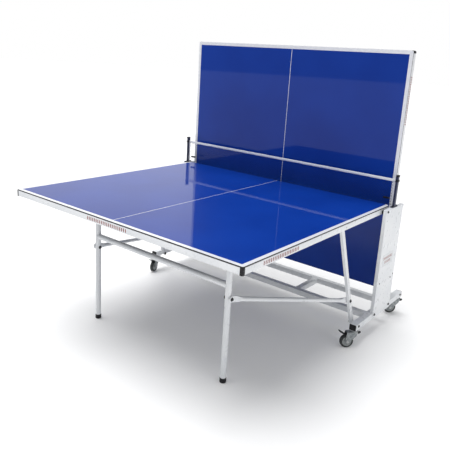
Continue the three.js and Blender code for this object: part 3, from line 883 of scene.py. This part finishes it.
def spacer(shape, x_from, x_to, y, z, radius, bore=4.2 * MM):
    length = abs(x_to - x_from)
    way = 1 if x_to > x_from else -1
    profile = [(bore, 0), (radius, 0), (radius, length), (bore, length)]
    return shape.turned(profile, facing_x(x_from, y, z, way), 24, loop=True)


for half in HALVES:
    on_half, on_legs, on_rods, on_struts, on_axle = Shape(), Shape(), Shape(), Shape(), Shape()
    bosses = Shape()
    for _, sign in SIDES:
        for way in (-1, 1):
            on_half.bolt(facing_x(sign * leg_x + way * EAR_OUT, leg_pivot.y, leg_pivot.z, way))
        spacer(on_struts, sign * strut_high.x, sign * (rail_low.x - 0.2 * MM), strut_top.y,
               strut_top.z, 9 * MM)
        on_struts.bolt(facing_x(sign * strut_low.x, strut_top.y, strut_top.z, -sign), washer=8 * MM)
        on_struts.bolt(facing_x(sign * strut_low.x, strut_foot.y, strut_foot.z, -sign))
        on_struts.bolt(facing_x(sign * strut_high.x, rod_strut.y, rod_strut.z, sign), 6 * MM, 5 * MM)
        on_rods.bolt(facing_x(sign * (rod_strut.x - FLAT_HALF), rod_strut.y, rod_strut.z, -sign))
        on_rods.bolt(facing_x(sign * (rod_leg.x + FLAT_HALF), rod_leg.y, rod_leg.z, sign),
                     7 * MM, 5 * MM)
        boss_end = sign * (rod_leg.x - FLAT_HALF - 0.4 * MM)
        bosses.turned([(11.5 * MM, 0), (11.5 * MM, 5 * MM), (9.5 * MM, 7.5 * MM), (9.5 * MM, 11 * MM)],
                      facing_x(boss_end - sign * 11 * MM, rod_leg.y, rod_leg.z, sign), 28)
        on_legs.bolt(facing_x(sign * (leg_x - LEG_RADIUS + 0.3 * MM), rod_leg.y, rod_leg.z, -sign))
        spacer(on_axle, sign * (rail_high.x + 0.4 * MM), sign * (tower_inner - 2.4 * MM),
               fold_pivot.y, fold_pivot.z, 12 * MM, 7.3 * MM)
    half_piece(half, "leg_pivot_bolts", on_half, ZINC, "half", 0.25 * MM)
    half_piece(half, "rod_bolts", on_rods, DARK, "rods", 0.25 * MM)
    half_piece(half, "strut_bolts", on_struts, DARK, "struts", 0.25 * MM)
    half_piece(half, "leg_bolts", on_legs, DARK, "legs", 0.25 * MM)
    half_piece(half, "leg_bosses", bosses, WHITE, "legs", 0.25 * MM)
    half_piece(half, "axle_bushes", on_axle, BLACK, "carriage", 0.4 * MM)
print("bolts and bushes on both halves")

# %% [markdown]
# ## The base: end plugs, weld beads and strut bushes
# The base tubes end in black plugs with a dished face. The cross tubes are welded to them all
# round, so a bead follows each tube's outline. A bush on the base tube carries each strut's foot.

# %% Base details
base_low, base_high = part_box("right_base_tube")
base_x, base_z = (base_low.x + base_high.x) / 2, (base_low.z + base_high.z) / 2
base_wide, base_tall = base_high.x - base_low.x, base_high.z - base_low.z
welds, bushes, base_bolts = Shape(), Shape(), Shape()
for side, sign in SIDES:
    plugs = Shape()
    for y, way in ((base_low.y, -1), (base_high.y, 1)):
        plug(plugs, facing_y(sign * base_x, y + way * 0.2 * MM, base_z, way),
             base_wide - 0.4 * MM, base_tall - 0.4 * MM, dish=2 * MM, lip=3.5 * MM)
    piece(side + "_base_plugs", plugs, BLACK, "frame", soften=0.4 * MM)
    for node in ("front_cross_tube", "rear_cross_tube"):
        low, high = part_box(node)
        outline = rounded(high.y - low.y, high.z - low.z, 3 * MM)
        centre = (low + high) / 2
        welds.bead([(sign * high.x, centre.y + u, centre.z + v) for u, v in outline], 1.8 * MM)
    low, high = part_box(side + "_cross_tie")
    centre = (low + high) / 2
    for y in (low.y, high.y):
        outline = rounded(high.x - low.x, high.z - low.z, 3 * MM)
        welds.bead([(centre.x + u, y, centre.z + v) for u, v in outline], 1.8 * MM)
    for y in (strut_foot.y, 2 * net_y - strut_foot.y):
        spacer(bushes, sign * (base_low.x - 0.1 * MM), sign * (strut_high.x + 0.4 * MM), y,
               strut_foot.z, 11 * MM)
        base_bolts.bolt(facing_x(sign * base_high.x, y - math.copysign(30 * MM, net_y - y),
                                 base_z + 4 * MM, sign), 5 * MM, 3.5 * MM, 7.5 * MM)
piece("base_weld_beads", welds, WHITE, "frame", soften=0)
piece("strut_foot_bushes", bushes, WHITE, "frame")
piece("base_side_bolts", base_bolts, DARK, "frame", soften=0.25 * MM)
print("base tubes:", round(base_wide * 1000), "x", round(base_tall * 1000), "mm")

# %% [markdown]
# ## Tower fittings
# Each tower is a folded sheet box that hides the end of both axles. Its outer side carries one
# bolt in the top lip, three small screws for the guides inside, two bolts through the skirt into
# the base tube, and a pale label. The guide slots in the inner wall have a black nylon trim, so
# that the axle never rubs on paint.

# %% Bolts, screws, labels and slot trims
tower_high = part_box("right_tower")[1]
LIP = 2.5 * MM
LIP_BOLT, SKIRT_BOLTS = -0.105, (-0.100, 0.100)
GUIDE_SCREWS = ((0.103, 0.328), (0.068, 0.315), (-0.084, 0.317))
LABEL_AT, LABEL_SIZE = (-0.012, 0.450), (0.150, 0.074)
TRIM_BORE, TRIM_RIM = 7.7 * MM, 12 * MM
face_x = tower_high.x - LIP
fold_rear = pivots["rear_fold"]
slot_low = (fold_rear.y - net_y, fold_rear.z)
slot_high = (net_y - fold_pivot.y, fold_pivot.z)
for side, sign in SIDES:
    fixings = Shape()
    fixings.bolt(facing_x(sign * tower_high.x, net_y + LIP_BOLT, tower_high.z - 9.5 * MM, sign),
                 4.6 * MM, 3.5 * MM, 7 * MM)
    for y in SKIRT_BOLTS:
        fixings.bolt(facing_x(sign * face_x, net_y + y, base_z + 6 * MM, sign), 5.5 * MM, 4 * MM, 8 * MM)
    for y, z in GUIDE_SCREWS:
        fixings.screw(facing_x(sign * face_x, net_y + y, z, sign))
    piece(side + "_tower_fixings", fixings, DARK, "frame", soften=0.25 * MM)

    at = facing_x(sign * face_x, net_y + LABEL_AT[0], LABEL_AT[1], sign)
    label = Shape().raised(rounded(*LABEL_SIZE, 6 * MM), 0, FILM_THICK * 0.6, at)
    bar_rows(label, at, LABEL_SIZE[0] - 24 * MM, 40 * MM, mark=1)
    piece(side + "_tower_label", label, [FILM, INK], "frame", soften=0.06 * MM)

    trims = Shape()
    for way in (-1, 1):
        low, high = (way * slot_low[0], slot_low[1]), (way * slot_high[0], slot_high[1])
        inner, outer = capsule(low, high, TRIM_BORE), capsule(low, high, TRIM_RIM)
        at = facing_x(sign * tower_inner, net_y, 0, -sign)
        heights = ((inner, 0.2 * MM), (outer, 0.2 * MM), (outer, 1.6 * MM), (inner, 1.6 * MM))
        trims.skin([[(u, v, h) for u, v in outline] for outline, h in heights], at, loop=True)
    piece(side + "_slot_trims", trims, BLACK, "frame", soften=0.3 * MM)
print("towers:", round(tower_high.z, 3), "m high")

# %% [markdown]
# ## Net posts
# A post is a small painted tube on a foot plate, fixed to the tower's top with two bolts. It has
# a black cap, a collar where the tape's cord is tied off, and a black clip pinched on the net's
# lower corner. The cap is a rounded outline drawn in at the top, so it reads as moulded.

# %% Post caps, plate bolts and clips
post_low, post_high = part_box("right_net_post")
net_low, net_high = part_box("net_mesh")
tape_low, tape_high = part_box("net_tape")
post_x = (post_low.x + post_high.x) / 2 + 0.75 * MM
POST_WIDE, POST_LONG = 14 * MM, 22 * MM
for side, sign in SIDES:
    cap = Shape()
    sizes = ((0.9, -7), (0.9, 0.4), (0.4, 1.2), (-1.2, 1.8), (-4, 2.0))
    cap.skin([[(u, v, post_high.z + h * MM) for u, v in
               rounded(POST_WIDE + 2 * grow * MM, POST_LONG + 2 * grow * MM, 3 * MM)]
              for grow, h in sizes], standing(sign * post_x, net_y, 0))
    collar_z = tape_low.z + 2 * MM
    cap.raised(rounded(POST_WIDE + 3 * MM, POST_LONG + 3 * MM, 4 * MM), collar_z, collar_z + 11 * MM,
               standing(sign * post_x, net_y, 0))
    clip = facing_y(sign * (post_x - 0.052), net_y + 5 * MM, net_low.z + 36 * MM, -1)
    cap.raised(rounded(36 * MM, 10 * MM, 4 * MM), 0, 10 * MM, clip)
    piece(side + "_post_cap_and_clips", cap, BLACK, "frame")
    held = Shape()
    for y in (-24 * MM, 24 * MM):
        held.bolt(standing(sign * post_x, net_y + y, tower_high.z + 4.4 * MM),
                  5 * MM, 3.5 * MM, 7 * MM)
    piece(side + "_post_bolts", held, DARK, "frame", soften=0.25 * MM)
print("posts:", round(post_high.z, 3), "m high")

# %% [markdown]
# ## The net
# A table tennis net is knotted in small six-sided meshes. It could be a see-through finish on a
# flat strip, but the strands would have no thickness from the side. Instead every strand is a
# thin cord that leans left and right in turn, and touches its neighbours at the knots. All of
# them are one piece, with a thicker cord along the foot.

# %% Net strands
MESH_PITCH = 8.5 * MM
ROW = 8 * MM
TWINE_RADIUS = 0.5 * MM
net_wide = net_high.x - net_low.x
net_top = tape_low.z + 3 * MM
strands = Shape()
columns = int(net_wide / MESH_PITCH)
rows = int((net_top - net_low.z) / ROW)
lean = MESH_PITCH / 2 - TWINE_RADIUS * 0.8
for column in range(columns):
    middle = net_low.x + (column + 0.5) * net_wide / columns
    route = []
    for row in range(rows + 1):
        side = 1 if (row + column) % 2 else -1
        z = net_top - (net_top - net_low.z - 2 * MM) * row / rows
        for step in (-1.2 * MM, 1.2 * MM):
            at_z = min(max(z - step, net_low.z + 1 * MM), net_top)
            route.append((middle + side * lean, net_y + side * 0.15 * MM, at_z - row * 1e-7))
    strands.bead(route, TWINE_RADIUS, sides=4, loop=False)
foot = net_low.z + 1.2 * MM
route = [(net_low.x + net_wide * k / 60, net_y, foot + 0.3 * MM * math.sin(k * 1.7))
         for k in range(61)]
strands.bead(route, 1.1 * MM, loop=False)
net_piece = piece("knotted_net", strands, TWINE, "frame", soften=0, stands_for="net_mesh")
print("net:", columns, "strands,", rows, "rows")

# %% [markdown]
# ## The tape
# The top of the net is a white tape folded over the cord and sewn. Folded cloth keeps an open,
# rounded ridge and never lies dead straight, so its section is an upside-down U that is skinned
# along the net through many stations, each a hair higher or lower. A run of small stitches holds
# its lower edge, and a narrower hem of the same tape closes each end of the net.

# %% Folded tape, hems and stitches
CLOTH = 0.5 * MM


def fold_section(width, height, steps=8):
    """The folded cloth's outline: up one side, over the ridge and down, then back inside."""
    ridge = height - width / 2
    outline = []
    for radius, way in ((width / 2, -1), (width / 2 - CLOTH, 1)):
        start, bend = way * radius, way * radius * 0.92
        turns = [math.pi * k / steps for k in range(steps + 1)]
        arch = [(start * math.cos(a), ridge + radius * math.sin(a)) for a in turns]
        outline += [(start, 0), (bend, ridge / 2), *arch, (-bend, ridge / 2), (-start, 0)]
    return outline


tape_tall = tape_high.z - tape_low.z
section = fold_section(tape_high.y - tape_low.y, tape_tall)
stations = 120
rings = []
for k in range(stations + 1):
    x = tape_low.x + (tape_high.x - tape_low.x) * k / stations
    lift = 0.35 * MM * math.sin(k * 0.9) + 0.25 * MM * math.sin(k * 0.37 + 1)
    pinch = 1 + 0.12 * math.sin(k * 0.53)
    rings.append([(x, net_y + u * pinch, tape_low.z + v + lift * (1 - v / tape_tall * 0.5))
                  for u, v in section])
tape = piece("net_tape_folded", Shape().skin(rings), TAPE, "frame", soften=0, stands_for="net_tape")

hems = Shape()
for _, sign in SIDES:
    strip = rounded(9 * MM, tape_low.z - net_low.z - 1 * MM, 1 * MM, 2)
    at = facing_y(sign * (net_high.x - 5 * MM), net_y - 1.1 * MM, (tape_low.z + net_low.z) / 2)
    hems.raised(strip, 0, 2.2 * MM, at)
hem_piece = piece("net_end_hems", hems, TAPE, "frame", soften=0.4 * MM)

stitches = Shape()
STITCH = 7 * MM
for k in range(int(net_wide / STITCH)):
    for way in (-1, 1):
        at = facing_y(net_low.x + (k + 0.5) * STITCH, net_y + way * 1.9 * MM, tape_low.z + 3 * MM, way)
        stitches.raised(rounded(3.6 * MM, 0.6 * MM, 0.25 * MM, 1), -0.3 * MM, 0.45 * MM, at)
stitch_piece = piece("net_tape_stitches", stitches, TAPE, "frame", soften=0)

# %% [markdown]
# ## Casters
# A caster is four bodies: a plate that stays on the base, a fork that swivels under it, a wheel
# that rolls in the fork, and a brake pedal. Each is drawn once, trailing towards the near end,
# and is then turned to where the frame's own caster points. That angle comes from the wheel's
# axis in the frame. The wheel is a turned tyre on a turned nylon hub with six ribs.

# %% Caster places
PLACES = ("front_right", "front_left", "rear_right", "rear_left")
roll_axis = {j["name"]: Vector(j["axis"]) for j in frame["joints"]}
WHEEL_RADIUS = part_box("front_right_caster_wheel")[1].z / 2
swivel, roll = pivots["front_right_swivel"], pivots["front_right_roll"]
TRAIL = math.hypot(roll.x - swivel.x, roll.y - swivel.y)
TYRE_HALF = 12 * MM
CHEEK_IN, CHEEK_OUT = 14.5 * MM, 17 * MM
CROWN = 91 * MM
plate_top = base_low.z - 0.2 * MM


def caster_place(place):
    axis = roll_axis[place + "_roll"]
    at = pivots[place + "_swivel"]
    return Matrix.Translation((at.x, at.y, 0)) @ Matrix.Rotation(math.atan2(axis.y, axis.x), 4, "Z")


print("casters:", round(TRAIL * 1000, 1), "mm trail,", round(WHEEL_RADIUS * 2000, 1), "mm wheels")

# %% Wheels


def mirrored(profile):
    """A half profile followed back by its mirror image."""
    return profile + [(r, -h) for r, h in reversed(profile)]


def either_side(way, low, high):
    """The same span on the given side of the middle."""
    return (low, high) if way > 0 else (-high, -low)


def wheel(place):
    at = caster_place(place) @ facing_x(0, -TRAIL, WHEEL_RADIUS)
    body = place + "_wheel"
    tread, rim = WHEEL_RADIUS, WHEEL_RADIUS - 11 * MM
    half_tyre = [(rim, TYRE_HALF - 1.4 * MM), (rim + 4 * MM, TYRE_HALF - 0.6 * MM),
                 (tread - 3 * MM, TYRE_HALF - 1 * MM), (tread - 0.9 * MM, TYRE_HALF - 3 * MM),
                 (tread, TYRE_HALF - 5.5 * MM), (tread, 2.6 * MM), (tread - 0.9 * MM, 2.0 * MM),
                 (tread - 0.9 * MM, 1.2 * MM), (tread, 0.6 * MM)]
    tyre = Shape().turned(mirrored(half_tyre), at, 56, loop=True)
    half_hub = [(4.3 * MM, 13.5 * MM), (9 * MM, 13.5 * MM), (9.6 * MM, 8.5 * MM),
                (rim - 5 * MM, 7.5 * MM), (rim - 3 * MM, 10.5 * MM), (rim - 0.2 * MM, 10.5 * MM)]
    hub = Shape().turned(mirrored(half_hub), at, 48, loop=True)
    for k in range(6):
        rib = at @ Matrix.Rotation(math.pi * k / 3, 4, "Z") @ Matrix.Translation((15 * MM, 0, 0))
        for way in (1, -1):
            low, high = either_side(way, 7 * MM, 10 * MM)
            hub.raised(rounded(15 * MM, 2.6 * MM, 1 * MM, 2), low, high, rib)
    piece(place + "_tyre", tyre, TYRE, body, soften=0.3 * MM, stands_for=place + "_caster_wheel")
    piece(place + "_hub", hub, NYLON, body, soften=0.4 * MM)


for place in PLACES:
    wheel(place)
print("made", 2 * len(PLACES), "wheel pieces")

# %% [markdown]
# ## Forks, plates and pedals
# The fork is pressed from one sheet: a crown under the swivel race and two cheeks that narrow
# down to the axle. The cheek's outline has a round end about the axle and a leaning front edge.
# The pedal is a moulded rocker that runs back over the wheel. Its tread is wider, with ribs that
# give a shoe some grip, and a short tab at the other end lets the brake off.

# %% Forks and plates


def cheek_outline():
    boss = 12.5 * MM
    points = [(17 * MM, CROWN + 3 * MM), (14 * MM, CROWN - 6 * MM), (8 * MM, CROWN - 20 * MM)]
    for k in range(13):
        a = math.radians(-28 - 150 * k / 12)
        points.append((-TRAIL + boss * math.cos(a), WHEEL_RADIUS + boss * math.sin(a)))
    points += [(-TRAIL - 11 * MM, WHEEL_RADIUS + 18 * MM), (-TRAIL - 7 * MM, CROWN - 4 * MM),
               (-TRAIL - 6 * MM, CROWN + 3 * MM)]
    return points


def fork(place):
    at = caster_place(place)
    body = place + "_caster"
    pressed = Shape()
    rib = capsule((-TRAIL + 4 * MM, WHEEL_RADIUS + 16 * MM), (0, CROWN - 9 * MM), 3 * MM)
    for way in (-1, 1):
        low, high = either_side(way, CHEEK_IN, CHEEK_OUT)
        pressed.raised(cheek_outline(), low, high, at @ facing_x(0, 0, 0))
        low, high = either_side(way, CHEEK_OUT - 0.5 * MM, CHEEK_OUT + 1.2 * MM)
        pressed.raised(rib, low, high, at @ facing_x(0, 0, 0))
    crown = rounded(2 * CHEEK_OUT, TRAIL + 23 * MM, 8 * MM)
    pressed.raised([(u, v - TRAIL / 2 + 5.5 * MM) for u, v in crown], CROWN, CROWN + 3.5 * MM, at)
    race = [(20 * MM, CROWN + 3 * MM), (22 * MM, CROWN + 4.5 * MM), (22 * MM, CROWN + 9 * MM),
            (20 * MM, CROWN + 10.5 * MM), (16 * MM, CROWN + 11 * MM), (16 * MM, CROWN + 13.5 * MM)]
    pressed.turned(race, at, 36)
    piece(place + "_fork_pressing", pressed, GREY, body, soften=0.6 * MM,
          stands_for=place + "_caster_fork")
    pin = Shape()
    for way in (-1, 1):
        pin.bolt(at @ facing_x(way * CHEEK_OUT, -TRAIL, WHEEL_RADIUS, way), 6 * MM, 4 * MM, 8.5 * MM)
    piece(place + "_axle_bolt", pin, ZINC, body, soften=0.25 * MM)
    plate = Shape()
    here = Matrix.Translation((at.translation.x, at.translation.y, 0))
    plate.raised(rounded(37 * MM, 50 * MM, 5 * MM), plate_top - 3 * MM, plate_top, here)
    for x in (-12 * MM, 12 * MM):
        for y in (-19 * MM, 19 * MM):
            hang = here @ axes((x, y, plate_top - 3 * MM), (1, 0, 0), (0, -1, 0), (0, 0, -1))
            plate.screw(hang, 4 * MM)
    piece(place + "_caster_plate", plate, WHITE, "frame", soften=0.4 * MM)


for place in PLACES:
    fork(place)
print("made", 3 * len(PLACES), "fork pieces")

# %% Pedals
# Each row is one section in millimetres: how far forward, half width, height, half thickness.
TREAD = ((38, 4, 89.5, 1.4), (34, 9, 88.5, 2.2), (26, 10, 85.0, 2.2), (14, 8, 83.0, 2.0),
         (-6, 8, 82.0, 2.0), (-34, 9, 80.6, 1.8), (-54, 10, 80.8, 1.8), (-62, 12, 84.0, 2.4),
         (-74, 13.5, 91.4, 2.8), (-86, 12.5, 98.4, 2.4), (-91, 9, 100.8, 1.5))


def pedal(place):
    at = caster_place(place)
    rocker = Shape()
    rings = []
    for y, half, z, thick in TREAD:
        outline = rounded(2 * half * MM, 2 * thick * MM, min(1.2, thick * 0.8) * MM, 3)
        rings.append([(u, y * MM, z * MM + v) for u, v in outline])
    rocker.skin(rings, at)
    for k in range(5):
        y, z = (-66 - 4.4 * k) * MM, (88.4 + 2.6 * k) * MM
        bar = rounded(21 * MM, 1.8 * MM, 0.8 * MM, 2)
        rocker.raised([(u, y + v) for u, v in bar], z, z + 1.6 * MM, at)
    return piece(place + "_pedal_rocker", rocker, BLACK, place + "_pedal", soften=0.4 * MM,
                 stands_for=place + "_brake_pedal")


for place in PLACES:
    print("made", pedal(place).name)

# %% [markdown]
# ## Floor and light
# The floor is a wide pale sheet that glows a little, as a white sweep lit from behind does. A very
# wide sun stands nearly overhead and fills the top, a soft box on the right lifts the tower, and
# the rest of the room is a plain pale grey, so every white tube has a bright side and a shaded
# one without hard shadows. The sun is kept out of reflections, because its wide disc would lie on
# the polished top like a stain. A wide soft window stands beyond the far left corner. It is there
# for the lacquer: the flat half mirrors it in a pale band beside the standing half. Behind it all
# the camera sees plain white. One room colour could do both jobs, but a white bright enough for
# the backdrop would light every side alike, so the backdrop and the room's light are two nodes.

# %% Floor, room and soft boxes
sweep = Finish("pale_floor", (0.88, 0.88, 0.88), 0.7,
               Emission_Color=(1, 1, 1, 1), Emission_Strength=0.14)
sweep.colours(sweep.noise(2), (0.87, 0.87, 0.87), (0.89, 0.89, 0.89))
sweep.skin(sweep.noise(300), 0.0002, 0.2)
ground = bpy.data.meshes.new("floor")
ground.from_pydata([(60 * u, 60 * v, 0) for u, v in circle(1, 48)], [], [tuple(range(48))])
ground.materials.append(sweep.material)
put("floor", ground)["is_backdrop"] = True

room = bpy.data.worlds.new("plain_room")
room.use_nodes = True
sky = room.node_tree.nodes["Background"]
bright = room.node_tree.nodes.new("ShaderNodeBackground")
seen = room.node_tree.nodes.new("ShaderNodeLightPath")
either = room.node_tree.nodes.new("ShaderNodeMixShader")
sky.inputs["Color"].default_value = (0.96, 0.97, 1.0, 1)
sky.inputs["Strength"].default_value = 0.35
bright.inputs["Color"].default_value = (1, 1, 1, 1)
bright.inputs["Strength"].default_value = 1.0
join = room.node_tree.links.new
join(seen.outputs["Is Camera Ray"], either.inputs["Fac"])
join(sky.outputs["Background"], either.inputs[1])
join(bright.outputs["Background"], either.inputs[2])
join(either.outputs["Shader"], room.node_tree.nodes["World Output"].inputs["Surface"])
bpy.context.scene.world = room
bpy.context.scene.view_settings.view_transform = "Standard"


def lamp_towards(kind, name, place, target, power, **shape):
    lamp = bpy.data.lights.new(name, kind)
    lamp.energy = power
    for key, value in shape.items():
        setattr(lamp, key, value)
    obj = put(name, lamp)
    obj.location = place
    obj.rotation_euler = (Vector(target) - Vector(place)).to_track_quat("-Z", "Y").to_euler()
    return obj


MIDDLE = (0, 0, 0.7)
sun = lamp_towards("SUN", "soft_daylight", (-1.2, -0.75, 5.6), MIDDLE, 2.95, angle=math.radians(50))
sun.visible_glossy = False
lamp_towards("AREA", "right_box", (5.0, -1.2, 2.4), MIDDLE, 26, size=2.5)
window = lamp_towards("AREA", "far_window", (-4.9, 3.6, 2.3), MIDDLE, 47, size=5.5,
                      shape="RECTANGLE", size_y=3.0)
window.visible_camera = False

# %% [markdown]
# The looks must stay within the frame's own box, apart from a few millimetres of bolt heads. The two
# boxes are worked out side by side, and their sizes are printed.

look_low, look_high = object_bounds()
sizes = {"cad": [list(cad_low), list(cad_high)], "visual": [list(look_low), list(look_high)]}
print("frame box:", [round(v, 4) for v in cad_high - cad_low])
print("looks box:", [round(v, 4) for v in look_high - look_low])
